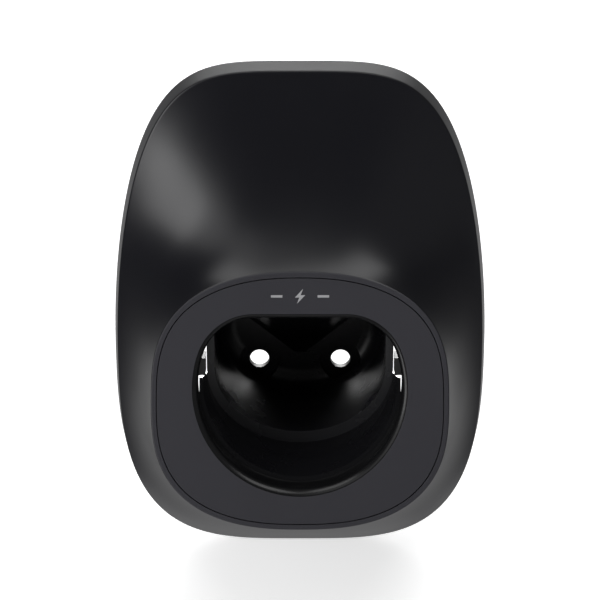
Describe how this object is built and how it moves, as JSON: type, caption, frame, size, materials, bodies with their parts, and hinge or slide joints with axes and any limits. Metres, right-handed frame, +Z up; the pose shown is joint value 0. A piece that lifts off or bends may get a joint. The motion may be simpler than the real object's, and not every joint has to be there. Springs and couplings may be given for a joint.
{
  "type": "wall dock for a car charging connector",
  "caption": "Wall dock for an electric car's charging plug: trumpet-shaped black shell whose neck takes the coiled cable, and a tilted socket with a satin bezel.",
  "frame": {"origin": "midway between the two wall-screw holes, in the plane of the wall", "axes": "+Z up, -Y out of the wall towards the user, +X to the right as seen from the front"},
  "size_m": [0.115, 0.0683, 0.1598],
  "materials": {
    "shell_gloss_black": "semi-gloss moulded",
    "bezel_satin_charcoal": "satin, fine spark-eroded texture",
    "cup_satin_black": "satin",
    "screw_steel": "zinc plated",
    "printed_mark": "light grey print"
  },
  "bodies": {
    "dock": {"outer_shell": "shell_gloss_black", "front_bezel": "bezel_satin_charcoal", "dock_cup": "cup_satin_black", "shell_screw_1": "screw_steel", "shell_screw_2": "screw_steel", "shell_screw_3": "screw_steel", "shell_screw_4": "screw_steel"},
    "left_tab": {"snap_tab_left": "bezel_satin_charcoal"},
    "right_tab": {"snap_tab_right": "bezel_satin_charcoal"}
  },
  "joints": [
    {"name": "left_tab_flex", "type": "hinge", "parent": "dock", "child": "left_tab", "pos_m": [-0.0296, -0.0423, 0.0162], "axis": [0, 0, -1], "range_deg": [0, 6], "stiffness_Nm_per_rad": 0.3},
    {"name": "right_tab_flex", "type": "hinge", "parent": "dock", "child": "right_tab", "pos_m": [0.0296, -0.0423, 0.0162], "axis": [0, 0, 1], "range_deg": [0, 6], "stiffness_Nm_per_rad": 0.3}
  ]
}
